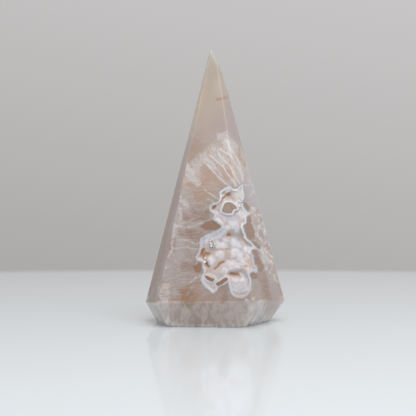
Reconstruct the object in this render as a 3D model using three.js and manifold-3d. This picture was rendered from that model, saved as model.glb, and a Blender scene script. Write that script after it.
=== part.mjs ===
// A polished tower of druzy agate: a six-sided point cut from one nodule, 96 mm tall, standing on a
// foot that is ground under on every side. Its front right edge breaks into the nodule's own hollow,
// which is lined with a crust of white chalcedony and small quartz points. The crust lies flush with
// the polish all round its rim and sinks a few millimetres inside it.
//
// Millimetres. +X is to the right of the face that shows the hollow, +Y runs to the back and +Z up.
// The origin is the middle of the stone's footprint, on the surface that it stands on.

import * as THREE from "three";
import { mergeVertices } from "three/addons/utils/BufferGeometryUtils.js";
import Module from "manifold-3d";

const wasm = await Module();
wasm.setup();

// ---- The polished form ----

// The widest corners, where the crown faces meet the foot facets, anticlockwise from the left.
const GIRDLE = [
  new THREE.Vector3(-24.7, 1.4, 6.7),
  new THREE.Vector3(-19.4, -16.8, 8.5),
  new THREE.Vector3(12.5, -19.6, 9.4),
  new THREE.Vector3(24.7, 2.1, 7.3),
  new THREE.Vector3(11.9, 19.6, 7.8),
  new THREE.Vector3(-12.6, 19.6, 7.4),
];
const CROWN_POINT = new THREE.Vector3(-0.66, 0, 100.4);

// How far each foot facet leans in from the vertical. Facet i runs from corner i to corner i + 1.
const FOOT_LEAN_DEG = [27, 26, 30, 34, 33, 34];

// The very point is ground off by one small slanting facet.
const TIP_FACET = new THREE.Plane(new THREE.Vector3(0.87, -0.2, 0.45).normalize(), -42);

// A chip out of the left edge just under the tip.
const CHIP = { centre: new THREE.Vector3(-4.1, 0.1, 90.4), radius: 1.25 };

// Pits of the nodule's rough skin that the wheel left on the right edge, above the foot.
const SKIN_PITS = [
  { centre: new THREE.Vector3(22.9, 2.2, 18.6), radius: 1.5 },
  { centre: new THREE.Vector3(23.4, 1.2, 16.4), radius: 1.3 },
  { centre: new THREE.Vector3(23.7, 2.6, 14.3), radius: 1.2 },
  { centre: new THREE.Vector3(22.6, 3.4, 16.2), radius: 1.2 },
];

// ---- The hollow ----

// Its rim as seen square on from the front, [x, z], down the left side and up the right.
const RIM = [
  [1.7, 46.2], [1.4, 43.7], [-0.6, 41.8], [-2.2, 40.6], [-1.3, 38.6], [-0.5, 36.7], [1.9, 34.0],
  [-0.7, 32.3], [-3.7, 30.8], [-5.2, 28.3], [-6.5, 24.3], [-5.6, 22.1], [-4.4, 20.1], [-5.2, 17.5],
  [-4.2, 14.5], [-1.5, 12.7], [1.0, 13.4], [4.0, 14.1], [5.4, 12.1], [8.1, 10.9], [10.6, 12.3],
  [11.4, 15.0], [11.6, 17.6], [13.5, 18.8], [12.9, 22.4], [12.3, 25.2], [13.6, 26.3], [11.8, 29.0],
  [9.8, 32.3], [9.4, 34.7], [11.0, 36.7], [11.6, 38.4], [9.5, 41.1], [9.8, 44.4], [9.5, 47.3],
  [7.3, 47.1], [4.3, 47.6],
];

// Clear quartz fills these places to the polish: they are islands of the stone inside the rim.
const ISLANDS = [
  [[3.4, 42.1], [5.4, 42.2], [7.0, 40.8], [5.4, 38.6], [3.2, 38.9], [2.0, 40.1]],
  [[-3.5, 17.1], [-2.5, 17.5], [-0.5, 16.7], [-0.7, 15.9], [-2.5, 16.2]],
  [[0.3, 15.3], [1.0, 16.1], [3.5, 16.9], [3.9, 16.2], [2.2, 15.4], [0.8, 14.9]],
];

// The crust's face lies a hair under the polish, level for the rim's width, and then falls away.
const FLUSH = 0.05;
const RIM_WIDTH = 0.9;
const RIM_FALL = 1.3;

// Depth of the crust's face below the polish, from the front: a floor for the whole hollow and a
// chamber's own depth on top of it, which fades out at the chamber's half widths rx and rz.
const FLOOR_DEPTH = 0.9;
const CHAMBERS = [
  { x: 5.6, z: 45.0, rx: 4.2, rz: 2.6, depth: 1.3 },
  { x: 8.6, z: 39.6, rx: 2.2, rz: 2.4, depth: 0.6 },
  { x: 4.6, z: 26.4, rx: 9.5, rz: 8.6, depth: 2.6 },
  { x: -1.8, z: 20.4, rx: 4.4, rz: 3.4, depth: 0.8 },
  { x: 7.4, z: 17.8, rx: 4.4, rz: 2.4, depth: 1.2 },
];

// Rounded lumps of chalcedony that stand on the floor: [x, z, radius, height].
const LUMPS = [
  [6.9, 35.2, 1.7, 0.7], [2.4, 36.8, 1.6, 0.5], [4.6, 33.3, 1.6, 1.0], [8.0, 32.4, 1.6, 1.0],
  [1.6, 31.6, 1.5, 1.0], [-1.0, 29.6, 1.5, 1.2], [-3.2, 28.6, 1.3, 1.1], [2.5, 27.9, 1.9, 1.9],
  [6.5, 28.6, 2.1, 2.0], [10.1, 27.9, 1.9, 1.7], [2.2, 24.5, 1.9, 1.9], [6.6, 24.5, 2.2, 2.1],
  [10.2, 24.9, 1.8, 1.7], [6.2, 21.0, 1.9, 1.8], [10.2, 22.0, 1.6, 1.5], [2.6, 20.9, 1.5, 1.3],
  [-0.4, 22.0, 1.8, 1.5], [-3.2, 25.6, 1.4, 1.0], [-2.9, 21.0, 1.2, 0.9], [11.4, 19.6, 1.3, 1.0],
  [8.1, 14.2, 3.0, 1.6], [-2.4, 14.6, 1.4, 0.7], [7.9, 44.9, 1.5, 1.1], [8.9, 39.6, 1.2, 0.9],
];

// Deep, stained holes where the crust thins: [x, z, radius, depth].
const HOLES = [
  [4.4, 45.1, 1.3, 1.5], [-4.0, 24.4, 1.2, 0.9], [4.7, 31.2, 1.2, 0.9], [6.4, 17.6, 1.2, 1.0],
  [0.0, 19.6, 1.1, 0.7], [9.2, 19.2, 1.0, 0.7],
];

// Nests of quartz points: the middle, the radius that they spread over and how many there are.
const NESTS = [
  { x: -0.6, z: 28.6, spread: 2.3, count: 15 },
  { x: 7.4, z: 45.2, spread: 2.2, count: 13 },
  { x: 8.9, z: 39.6, spread: 1.6, count: 8 },
  { x: -3.4, z: 23.8, spread: 1.7, count: 7 },
  { x: 9.8, z: 19.8, spread: 1.9, count: 8 },
  { x: 2.0, z: 19.8, spread: 1.9, count: 6 },
];
const QUARTZ_POINT = { radius: [0.32, 0.5], length: [1.2, 1.7], sunk: 0.55, splay: 0.9 };

// The crust is at least this thick under its face, and clears the stone by the gap.
const CRUST_THICKNESS = 2.3;
const SIDE_GAP = 0.3;
const FLOOR_GAP = 0.6;

// Spacing of the points that the crust's face and its bed are drawn with.
const FACE_STEP = 0.62;
const BED_STEP = 1.7;

// ---- Solids ----

// A closed geometry as a solid that can be joined to others and cut.
function solidOf(geometry) {
  const bare = geometry.clone();
  bare.deleteAttribute("normal");
  bare.deleteAttribute("uv");
  const merged = mergeVertices(bare, 1e-4);
  return new wasm.Manifold(
    new wasm.Mesh({
      numProp: 3,
      vertProperties: merged.attributes.position.array,
      triVerts: new Uint32Array(merged.index.array),
    }),
  );
}

function geometryOf(solid) {
  const { vertProperties, triVerts } = solid.getMesh();
  const geometry = new THREE.BufferGeometry();
  geometry.setAttribute("position", new THREE.BufferAttribute(vertProperties, 3));
  geometry.setIndex(new THREE.BufferAttribute(triVerts, 1));
  const faceted = geometry.toNonIndexed();
  faceted.computeVertexNormals();
  return faceted;
}

// Repeatable numbers from 0 to 1, for what grew at random.
function randomSource(seed) {
  let state = seed;
  return () => {
    state = (state * 1664525 + 1013904223) % 4294967296;
    return state / 4294967296;
  };
}

function smoothstep(from, to, value) {
  const t = THREE.MathUtils.clamp((value - from) / (to - from), 0, 1);
  return t * t * (3 - 2 * t);
}

// ---- The polished stone, before the hollow ----

// Corners of the flat foot: each facet's plane cuts the ground in a line, and neighbours' lines meet.
function footCorners() {
  const lines = GIRDLE.map((corner, i) => {
    const next = GIRDLE[(i + 1) % GIRDLE.length];
    const lean = Math.tan(THREE.MathUtils.degToRad(FOOT_LEAN_DEG[i]));
    const along = new THREE.Vector2(next.x - corner.x, next.y - corner.y).normalize();
    const inward = new THREE.Vector2(-along.y, along.x);
    const onGround = (v) => new THREE.Vector2(v.x, v.y).addScaledVector(inward, v.z * lean);
    return { from: onGround(corner), to: onGround(next) };
  });
  return lines.map((line, i) => {
    const previous = lines[(i + lines.length - 1) % lines.length];
    const a = previous.to.clone().sub(previous.from);
    const b = line.to.clone().sub(line.from);
    const t = line.from.clone().sub(previous.from).cross(b) / a.cross(b);
    const meet = previous.from.clone().addScaledVector(a, t);
    return new THREE.Vector3(meet.x, meet.y, 0);
  });
}

function polishedForm() {
  const foot = footCorners();
  const centre = new THREE.Vector3(0, 0, 0);
  const triangles = [];
  GIRDLE.forEach((corner, i) => {
    const j = (i + 1) % GIRDLE.length;
    triangles.push(corner, GIRDLE[j], CROWN_POINT);
    triangles.push(foot[i], foot[j], GIRDLE[j]);
    triangles.push(foot[i], GIRDLE[j], corner);
    triangles.push(centre, foot[j], foot[i]);
  });
  return solidOf(new THREE.BufferGeometry().setFromPoints(triangles));
}

// A block that reaches well past the stone, with one face on the plane and the rest outside it.
function blockBeyond(plane) {
  const size = 260;
  const block = new THREE.BoxGeometry(size, size, size);
  block.translate(0, 0, size / 2 - plane.constant);
  const turn = new THREE.Quaternion().setFromUnitVectors(new THREE.Vector3(0, 0, 1), plane.normal);
  return solidOf(block.applyQuaternion(turn));
}

// A rough lump whose flat faces leave a conchoidal scoop where it is cut away.
function scoop({ centre, radius }) {
  const lump = new THREE.IcosahedronGeometry(radius, 1);
  lump.rotateX(centre.z);
  lump.translate(centre.x, centre.y, centre.z);
  return solidOf(lump);
}

// ---- The hollow's surfaces, as functions of the place seen from the front ----

// How far back the plane through three points lies at (x, z).
function planeThrough(a, b, c) {
  const plane = new THREE.Plane().setFromCoplanarPoints(a, b, c);
  const { normal, constant } = plane;
  return (x, z) => -(constant + normal.x * x + normal.z * z) / normal.y;
}

const frontFace = planeThrough(GIRDLE[1], GIRDLE[2], CROWN_POINT);
const rightFace = planeThrough(GIRDLE[2], GIRDLE[3], CROWN_POINT);
const polish = (x, z) => Math.max(frontFace(x, z), rightFace(x, z));

// A closed outline as a smooth curve through its corners.
function smoothLoop(corners, pointsPerCorner) {
  const points = corners.map(([x, z]) => new THREE.Vector3(x, z, 0));
  const curve = new THREE.CatmullRomCurve3(points, true, "centripetal");
  const steps = corners.length * pointsPerCorner;
  return Array.from({ length: steps }, (_, i) => {
    const point = curve.getPoint(i / steps);
    return new THREE.Vector2(point.x, point.y);
  });
}

// The loop moved to its left-hand side by a distance: inwards where it runs anticlockwise.
function offsetLoop(loop, distance) {
  return loop.map((point, i) => {
    const before = loop[(i + loop.length - 1) % loop.length];
    const after = loop[(i + 1) % loop.length];
    const along = after.clone().sub(before).normalize();
    return new THREE.Vector2(point.x - along.y * distance, point.y + along.x * distance);
  });
}

function anticlockwise(loop) {
  return THREE.ShapeUtils.isClockWise(loop) ? loop.slice().reverse() : loop;
}

const rimLoop = anticlockwise(smoothLoop(RIM, 2));
const islandLoops = ISLANDS.map((corners) => anticlockwise(smoothLoop(corners, 2)));
const edges = [rimLoop, ...islandLoops].flatMap((loop) =>
  loop.map((point, i) => [point, loop[(i + 1) % loop.length]]),
);

// Distance from (x, z) to the nearest edge of the crust.
function edgeDistance(x, z) {
  let nearest = Infinity;
  for (const [a, b] of edges) {
    const lengthSq = (b.x - a.x) ** 2 + (b.y - a.y) ** 2;
    const along = ((x - a.x) * (b.x - a.x) + (z - a.y) * (b.y - a.y)) / lengthSq;
    const t = THREE.MathUtils.clamp(along, 0, 1);
    const distance = Math.hypot(x - a.x - t * (b.x - a.x), z - a.y - t * (b.y - a.y));
    nearest = Math.min(nearest, distance);
  }
  return nearest;
}

// Depth of the hollow below the polish, without its lumps and holes.
function chamberDepth(x, z) {
  return CHAMBERS.reduce((depth, chamber) => {
    const away = Math.hypot((x - chamber.x) / chamber.rx, (z - chamber.z) / chamber.rz);
    return depth + chamber.depth * (1 - smoothstep(0.35, 1, away));
  }, FLOOR_DEPTH);
}

// Depth of the crust's face below the polish.
function faceDepth(x, z) {
  const lump = LUMPS.reduce((highest, [lx, lz, radius, height]) => {
    const away = Math.hypot(x - lx, z - lz) / radius;
    return away < 1 ? Math.max(highest, height * Math.sqrt(1 - away * away)) : highest;
  }, 0);
  const hole = HOLES.reduce((deepest, [hx, hz, radius, depth]) => {
    const away = Math.hypot(x - hx, z - hz) / radius;
    return Math.max(deepest, depth * (1 - smoothstep(0.3, 1, away)));
  }, 0);
  const inside = smoothstep(RIM_WIDTH, RIM_WIDTH + RIM_FALL, edgeDistance(x, z));
  return Math.max(FLUSH, FLUSH + inside * (chamberDepth(x, z) + hole - lump));
}

// A block over the whole hollow: its near and far sides follow two functions of (x, z).
function reliefBlock(step, near, far) {
  const margin = 3;
  const xs = RIM.map(([x]) => x);
  const zs = RIM.map(([, z]) => z);
  const low = { x: Math.min(...xs) - margin, z: Math.min(...zs) - margin };
  const width = Math.max(...xs) + margin - low.x;
  const height = Math.max(...zs) + margin - low.z;
  const across = Math.round(width / step);
  const up = Math.round(height / step);
  const block = new THREE.BoxGeometry(width, 2, height, across, 1, up);
  block.translate(low.x + width / 2, 0, low.z + height / 2);
  const position = block.attributes.position;
  for (let i = 0; i < position.count; i++) {
    const side = position.getY(i) < 0 ? near : far;
    position.setY(i, side(position.getX(i), position.getZ(i)));
  }
  return solidOf(block);
}

// The column that a loop sweeps from well in front of the stone to well inside it.
function column(loop) {
  const length = 60;
  const swept = new THREE.ExtrudeGeometry(new THREE.Shape(loop), {
    depth: length,
    bevelEnabled: false,
    steps: 1,
  });
  swept.rotateX(Math.PI / 2);
  swept.translate(0, length / 2, 0);
  return solidOf(swept);
}

const inFront = () => -40;
const bedDepth = (x, z) => chamberDepth(x, z) + CRUST_THICKNESS;

// What is missing from the stone: the hollow down to the bed that its crust lies on.
function hollowVoid() {
  const bed = reliefBlock(BED_STEP, inFront, (x, z) => polish(x, z) + bedDepth(x, z));
  return islandLoops.reduce(
    (hollow, loop) => hollow.subtract(column(loop)),
    bed.intersect(column(rimLoop)),
  );
}

// One quartz crystal: a six-sided prism with a six-sided point, growing along a direction.
function quartzPoint(root, direction, radius, length) {
  const profile = [
    new THREE.Vector2(0, 0),
    new THREE.Vector2(radius, 0),
    new THREE.Vector2(radius, length - 1.1 * radius),
    new THREE.Vector2(0, length),
  ];
  const crystal = new THREE.LatheGeometry(profile, 6);
  const turn = new THREE.Quaternion().setFromUnitVectors(new THREE.Vector3(0, 1, 0), direction);
  crystal.applyQuaternion(turn);
  crystal.translate(root.x, root.y, root.z);
  return solidOf(crystal);
}

// A nest's crystals stand in a sunflower spiral, each splayed a little its own way.
function nestOfQuartz(nest, random) {
  const goldenAngle = Math.PI * (3 - Math.sqrt(5));
  const between = ([least, most]) => least + (most - least) * random();
  const crystals = [];
  for (let i = 0; i < nest.count; i++) {
    const out = nest.spread * Math.sqrt((i + 0.5) / nest.count);
    const x = nest.x + out * Math.cos(i * goldenAngle);
    const z = nest.z + out * Math.sin(i * goldenAngle);
    const splay = [random() - 0.5, random() - 0.5].map((s) => s * QUARTZ_POINT.splay);
    const direction = new THREE.Vector3(splay[0], -1, splay[1]).normalize();
    const depth = faceDepth(x, z);
    const length = Math.min(between(QUARTZ_POINT.length), QUARTZ_POINT.sunk + depth - FLUSH);
    const radius = between(QUARTZ_POINT.radius);
    const clear = edgeDistance(x, z) > RIM_WIDTH && length > QUARTZ_POINT.sunk + radius;
    const root = new THREE.Vector3(x, polish(x, z) + depth, z);
    root.addScaledVector(direction, -QUARTZ_POINT.sunk);
    if (clear) crystals.push(quartzPoint(root, direction, radius, length));
  }
  return crystals;
}

function crustSolid() {
  const face = reliefBlock(
    FACE_STEP,
    (x, z) => polish(x, z) + faceDepth(x, z),
    (x, z) => polish(x, z) + 20,
  );
  const bed = reliefBlock(BED_STEP, inFront, (x, z) => polish(x, z) + bedDepth(x, z) - FLOOR_GAP);
  const inside = column(offsetLoop(rimLoop, SIDE_GAP));
  const lining = islandLoops.reduce(
    (crust, loop) => crust.subtract(column(offsetLoop(loop, -SIDE_GAP))),
    face.intersect(bed).intersect(inside),
  );
  const random = randomSource(7);
  return NESTS.flatMap((nest) => nestOfQuartz(nest, random)).reduce(
    (crust, crystal) => crust.add(crystal),
    lining,
  );
}

// ---- The two pieces ----

function towerMesh() {
  const cuts = [blockBeyond(TIP_FACET), scoop(CHIP), ...SKIN_PITS.map(scoop), hollowVoid()];
  const stone = cuts.reduce((solid, cut) => solid.subtract(cut), polishedForm());
  const material = new THREE.MeshStandardMaterial({
    color: 0xa89a93,
    roughness: 0.12,
    metalness: 0,
  });
  const mesh = new THREE.Mesh(geometryOf(stone), material);
  mesh.name = "agate_tower";
  return mesh;
}

function crustMesh() {
  const material = new THREE.MeshStandardMaterial({
    color: 0xc8c2c1,
    roughness: 0.6,
    metalness: 0,
  });
  const mesh = new THREE.Mesh(geometryOf(crustSolid()), material);
  mesh.name = "druzy_crust";
  return mesh;
}

const druzyAgate = new THREE.Group();
druzyAgate.add(towerMesh(), crustMesh());

export default druzyAgate;
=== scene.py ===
import math

import bmesh
import bpy
import numpy as np
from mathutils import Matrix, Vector, noise


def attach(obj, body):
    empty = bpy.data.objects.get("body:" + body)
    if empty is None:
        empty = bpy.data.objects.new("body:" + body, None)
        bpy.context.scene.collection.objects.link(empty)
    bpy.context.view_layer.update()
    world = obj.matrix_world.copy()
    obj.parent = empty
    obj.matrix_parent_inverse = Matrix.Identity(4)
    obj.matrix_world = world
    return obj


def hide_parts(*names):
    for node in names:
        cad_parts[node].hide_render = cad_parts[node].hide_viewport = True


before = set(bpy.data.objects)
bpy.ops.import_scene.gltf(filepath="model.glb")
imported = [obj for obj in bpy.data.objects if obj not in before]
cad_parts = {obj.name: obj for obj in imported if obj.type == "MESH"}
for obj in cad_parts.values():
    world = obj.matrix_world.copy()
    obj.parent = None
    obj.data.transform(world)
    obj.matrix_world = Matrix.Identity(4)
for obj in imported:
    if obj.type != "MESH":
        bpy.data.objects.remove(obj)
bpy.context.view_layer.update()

# ---------------------------------------------------------------------------------------------------
# The stone: one nodule of translucent agate, sawn to a six-sided point, ground and polished to glass.
# It grew round a hollow that now opens in the front right edge: clear brown quartz next to the
# hollow, then fibres and feathers that fan out to a ring of white tufts, then plain milky agate.
# ---------------------------------------------------------------------------------------------------

# Sizes and places are in mm, and meshes in metres.
MM = 0.001

# The rim of the hollow, seen square on from the front, as (x, z): from its top right corner down the
# left side and up the right.
RIM = [
    (9.6, 48.4), (8.1, 47.5), (7.0, 46.6), (5.6, 47.1), (4.6, 47.8), (2.6, 46.5), (1.5, 45.7),
    (1.4, 43.3), (0.7, 42.4), (-1.7, 41.4), (-2.1, 40.4), (-1.7, 39.2), (-0.3, 38.0), (-0.7, 36.6),
    (0.8, 35.3), (2.1, 34.2), (1.4, 33.0), (-0.8, 32.0), (-3.9, 30.6), (-5.0, 29.7), (-5.2, 27.1),
    (-5.9, 24.8), (-6.6, 23.7), (-6.0, 22.7), (-4.4, 22.0), (-4.3, 20.4), (-3.9, 18.8), (-4.9, 16.9),
    (-4.2, 14.7), (-2.3, 12.9), (-0.9, 11.5), (0.2, 12.5), (1.3, 14.2), (2.9, 14.7), (4.1, 15.6),
    (4.6, 13.4), (5.4, 11.3), (6.9, 10.3), (8.8, 10.2), (10.4, 11.0), (11.5, 12.8), (11.8, 16.4),
    (11.3, 18.2), (12.4, 18.8), (14.3, 18.4), (14.1, 19.9), (13.1, 21.3), (12.9, 23.9), (12.2, 25.2),
    (12.5, 26.2), (13.6, 26.2), (15.2, 25.5), (13.8, 26.9), (12.0, 28.8), (11.0, 29.6), (9.6, 32.6),
    (9.3, 34.3), (10.5, 35.5), (10.8, 37.2), (12.2, 38.5), (10.9, 39.0), (9.2, 41.7), (9.5, 43.0),
    (10.1, 44.4), (9.7, 46.5),
]
# Clear quartz that fills the hollow to the polish: islands of the stone inside the rim.
ISLANDS = [
    [(3.6, 42.1), (5.6, 41.9), (7.3, 40.2), (6.1, 39.7), (5.4, 38.5), (2.3, 39.1), (2.7, 40.8)],
    [(-3.5, 17.6), (-1.5, 16.9), (-0.4, 16.5), (-0.9, 15.7), (-3.0, 16.5)],
    [(0.0, 14.9), (2.1, 16.2), (3.5, 17.0), (4.1, 16.5), (2.1, 14.9), (0.8, 14.3)],
]
# A grown edge has scallops: how long they are, how far they reach, and how many times shorter the
# small ones on them are. Its line has a point at every LOOP_STEP.
RIM_GRAIN = 0.9
RIM_ROUGHNESS = 0.2
SMALL_SCALLOPS = 2.7
LOOP_STEP = 0.22

# How deep the hollow is below the polish: a floor, and chambers (x, z, half width, half height,
# depth) that sink into it, level in the middle up to CHAMBER_LEVEL of the way out. The stone's bed
# lies under the lining, and its mesh has a point at every BED_STEP.
FLOOR_DEPTH = 0.9
CHAMBER_LEVEL = 0.35
CHAMBERS = [
    (6.2, 44.4, 4.2, 2.6, 0.4), (8.6, 39.6, 2.2, 2.4, 0.6), (4.6, 26.4, 9.5, 8.6, 2.6),
    (-1.8, 20.4, 4.4, 3.4, 0.8), (7.4, 17.8, 4.4, 2.4, 1.2),
]
LINING_THICKNESS = 2.3
BED_STEP = 1.2

# A chip off the tip and pits in the skin of the right edge, as (centre, radius), and how uneven
# their scoops are: a share of the radius, and waves per mm.
CHIP = ((-4.1, 0.1, 90.4), 1.25)
SKIN_PITS = [
    ((22.9, 2.2, 18.6), 1.5), ((23.4, 1.2, 16.4), 1.3), ((23.7, 2.6, 14.3), 1.2),
    ((22.6, 3.4, 16.2), 1.2),
]
SCOOP_ROUGHNESS = 0.16
SCOOP_WAVES = 1.1

# Seeds the noise that scallops the rim and frays the marks, so each run grows the same stone. Each
# use reads a layer of the noise of its own, so none repeats another.
NOISE_SEED = 1
SCALLOP_LAYER = 9
WANDER_LAYER = 5
noise.seed_set(NOISE_SEED)


def smoothstep(low, high, value):
    """0 where the value is at low, 1 where it is at high, with soft ends."""
    share = np.clip((value - low) / (high - low), 0, 1)
    return share * share * (3 - 2 * share)


def smooth_loop(corners, step):
    """A closed centripetal curve through the corners, with a point about every step."""
    corners = np.array(corners, float)
    count = len(corners)
    loop = []
    for i in range(count):
        near = [corners[(i + k - 1) % count] for k in range(4)]
        gaps = [np.linalg.norm(near[k + 1] - near[k]) ** 0.5 for k in range(3)]
        knot = np.cumsum([0, *gaps])
        steps = max(1, round(gaps[1] ** 2 / step))
        for at in np.linspace(knot[1], knot[2], steps, endpoint=False):
            chords = [
                ((knot[k + 1] - at) * near[k] + (at - knot[k]) * near[k + 1]) / gaps[k]
                for k in range(3)
            ]
            bends = [
                ((knot[k + 2] - at) * chords[k] + (at - knot[k]) * chords[k + 1])
                / (knot[k + 2] - knot[k])
                for k in range(2)
            ]
            loop.append(((knot[2] - at) * bends[0] + (at - knot[1]) * bends[1]) / gaps[1])
    return np.array(loop)


def grown_rough(loop, grain, reach):
    """The loop with the small scallops of a grown edge."""
    moved = []
    for x, z in loop:
        coarse = noise.noise_vector(Vector((x, 0, z)) / grain)
        fine = noise.noise_vector(Vector((x, SCALLOP_LAYER, z)) / grain * SMALL_SCALLOPS)
        moved.append((x + reach * (coarse.x + fine.x / 2), z + reach * (coarse.z + fine.z / 2)))
    return np.array(moved)


rim_loop = grown_rough(smooth_loop(RIM, LOOP_STEP), RIM_GRAIN, RIM_ROUGHNESS)
island_loops = [
    grown_rough(smooth_loop(corners, LOOP_STEP), RIM_GRAIN, RIM_ROUGHNESS / 2)
    for corners in ISLANDS
]


def line_distance(x, z, line):
    """Distance from each (x, z) to a line of points."""
    nearest = np.full(np.shape(x), np.inf)
    for start, end in zip(np.array(line[:-1], float), np.array(line[1:], float)):
        run = end - start
        share = np.clip(((x - start[0]) * run[0] + (z - start[1]) * run[1]) / run.dot(run), 0, 1)
        away = np.hypot(x - start[0] - share * run[0], z - start[1] - share * run[1])
        nearest = np.minimum(nearest, away)
    return nearest


def loop_distance(x, z, loop):
    """Distance from each (x, z) to a closed loop: negative inside it."""
    closed = [*loop, loop[0]]
    within = np.zeros(np.shape(x), bool)
    for (ax, az), (bx, bz) in zip(closed[:-1], closed[1:]):
        if az != bz:
            within ^= ((az > z) != (bz > z)) & (x < ax + (z - az) * (bx - ax) / (bz - az))
    return line_distance(x, z, closed) * np.where(within, -1, 1)


def object_from(name, data):
    """A mesh, lamp or camera put into the scene at the origin."""
    made = bpy.data.objects.new(name, data)
    bpy.context.scene.collection.objects.link(made)
    return made


# Corners of the frame's stone closer than this are one, and faces within this angle are one facet.
SAME_CORNER = 0.01
SAME_FACET = math.radians(1.5)


def polished_form():
    """The ground form: the smallest convex solid round the frame's stone."""
    corners = [v.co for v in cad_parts["agate_tower"].data.vertices]
    form = bmesh.new()
    for corner in corners:
        form.verts.new(corner)
    bmesh.ops.remove_doubles(form, verts=form.verts[:], dist=SAME_CORNER * MM)
    bmesh.ops.convex_hull(form, input=form.verts[:])
    inner = [v for v in form.verts if not v.link_faces]
    bmesh.ops.delete(form, geom=inner, context="VERTS")
    bmesh.ops.dissolve_limit(
        form, angle_limit=SAME_FACET, verts=form.verts[:], edges=form.edges[:]
    )
    bmesh.ops.recalc_face_normals(form, faces=form.faces[:])
    return form


# The two facets that the hollow opens in, by the way they look.
FRONT_WAY = (0, -1, 0.15)
RIGHT_WAY = (0.84, -0.47, 0.27)
# How much more the way a facet looks counts than its area.
WAY_WEIGHT = 8


def face_towards(form, way):
    """The large facet that looks most nearly one way: its normal and its offset."""
    way = Vector(way).normalized()
    face = max(form.faces, key=lambda f: f.calc_area() * max(0, f.normal.dot(way)) ** WAY_WEIGHT)
    return np.array(face.normal), face.normal.dot(face.verts[0].co) / MM


tower_form = polished_form()
front_face = face_towards(tower_form, FRONT_WAY)
right_face = face_towards(tower_form, RIGHT_WAY)


def polish(x, z):
    """How far back the polished surface lies at (x, z)."""
    front, right = [
        (offset - normal[0] * x - normal[2] * z) / normal[1]
        for normal, offset in (front_face, right_face)
    ]
    return np.maximum(front, right)


def chamber_depth(x, z):
    """How deep the hollow is at (x, z), before its lining."""
    depth = np.full(np.shape(x), FLOOR_DEPTH)
    for cx, cz, rx, rz, deep in CHAMBERS:
        away = np.hypot((x - cx) / rx, (z - cz) / rz)
        depth = depth + deep * (1 - smoothstep(CHAMBER_LEVEL, 1, away))
    return depth


# How far the blocks that shape the hollow stand out past its rim, and their y well in front of the
# stone and well inside it.
BLOCK_MARGIN = 1.5
WELL_IN_FRONT = -40
WELL_INSIDE = 20


def relief_block(name, step, relief, flat):
    """A closed block over the hollow: one side follows relief(x, z), the other is level at flat."""
    low = rim_loop.min(axis=0) - BLOCK_MARGIN
    high = rim_loop.max(axis=0) + BLOCK_MARGIN
    across, up = [int(round(size / step)) + 1 for size in high - low]
    x, z = np.meshgrid(np.linspace(low[0], high[0], across), np.linspace(low[1], high[1], up))
    side = np.stack([x, relief(x, z), z], axis=-1).reshape(-1, 3)
    cell = np.arange(across * up).reshape(up, across)
    quads = np.stack([cell[:-1, :-1], cell[:-1, 1:], cell[1:, 1:], cell[1:, :-1]], axis=-1)
    border = [*cell[0, :-1], *cell[:-1, -1], *cell[-1, :0:-1], *cell[:0:-1, 0]]
    far_ring = len(side) + np.arange(len(border))
    skirt = [
        (border[i - 1], border[i], far_ring[i], far_ring[i - 1]) for i in range(len(border))
    ]
    ring_points = side[border].copy()
    ring_points[:, 1] = flat
    faces = [*quads.reshape(-1, 4).tolist(), *skirt, far_ring.tolist()]
    mesh = bpy.data.meshes.new(name)
    mesh.from_pydata(np.concatenate([side, ring_points]) * MM, [], faces)
    return turned_out(mesh)


def turned_out(mesh):
    """The mesh with every face pointing outwards."""
    work = bmesh.new()
    work.from_mesh(mesh)
    bmesh.ops.recalc_face_normals(work, faces=work.faces[:])
    work.to_mesh(mesh)
    work.free()
    return mesh


def column(name, loop):
    """The solid that a loop sweeps from well in front of the stone to well inside it."""
    count = len(loop)
    front, back = [
        [(x * MM, y * MM, z * MM) for x, z in loop] for y in (WELL_IN_FRONT, WELL_INSIDE)
    ]
    sides = [((i - 1) % count, i, count + i, count + (i - 1) % count) for i in range(count)]
    faces = [*sides, list(range(count)), list(range(count, 2 * count))]
    mesh = bpy.data.meshes.new(name)
    mesh.from_pydata(front + back, [], faces)
    return turned_out(mesh)


def combined(mesh, tool, operation):
    """The mesh less the tool (DIFFERENCE), or only what is inside it (INTERSECT)."""
    work = object_from("work", mesh)
    helper = object_from("tool", tool)
    boolean = work.modifiers.new("cut", "BOOLEAN")
    boolean.operation = operation
    boolean.solver = "MANIFOLD"
    boolean.object = helper
    seen = work.evaluated_get(bpy.context.evaluated_depsgraph_get())
    result = bpy.data.meshes.new_from_object(seen)
    bpy.data.objects.remove(work)
    bpy.data.objects.remove(helper)
    return result


def scoop(centre, radius):
    """A rough lump whose shell leaves a conchoidal scoop where it is cut away."""
    lump = bmesh.new()
    bmesh.ops.create_icosphere(lump, subdivisions=4, radius=radius * MM)
    for v in lump.verts:
        v.co *= 1 + SCOOP_ROUGHNESS * noise.noise(v.co / MM * SCOOP_WAVES + Vector(centre))
        v.co += Vector(centre) * MM
    mesh = bpy.data.meshes.new("scoop")
    lump.to_mesh(mesh)
    return mesh


def hollow_void():
    """What is missing from the stone: the hollow down to the bed of its lining, less the islands."""
    bed = relief_block(
        "bed", BED_STEP, lambda x, z: polish(x, z) + chamber_depth(x, z) + LINING_THICKNESS,
        WELL_IN_FRONT,
    )
    void = combined(bed, column("rim", rim_loop), "INTERSECT")
    for loop in island_loops:
        void = combined(void, column("island", loop), "DIFFERENCE")
    return void


# Marks on the polish, as (x, z): they show on the front and right facets, and up to the height
# MARKED_FOOT on all that looks to the front.
MARKED_FOOT = 20
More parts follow.
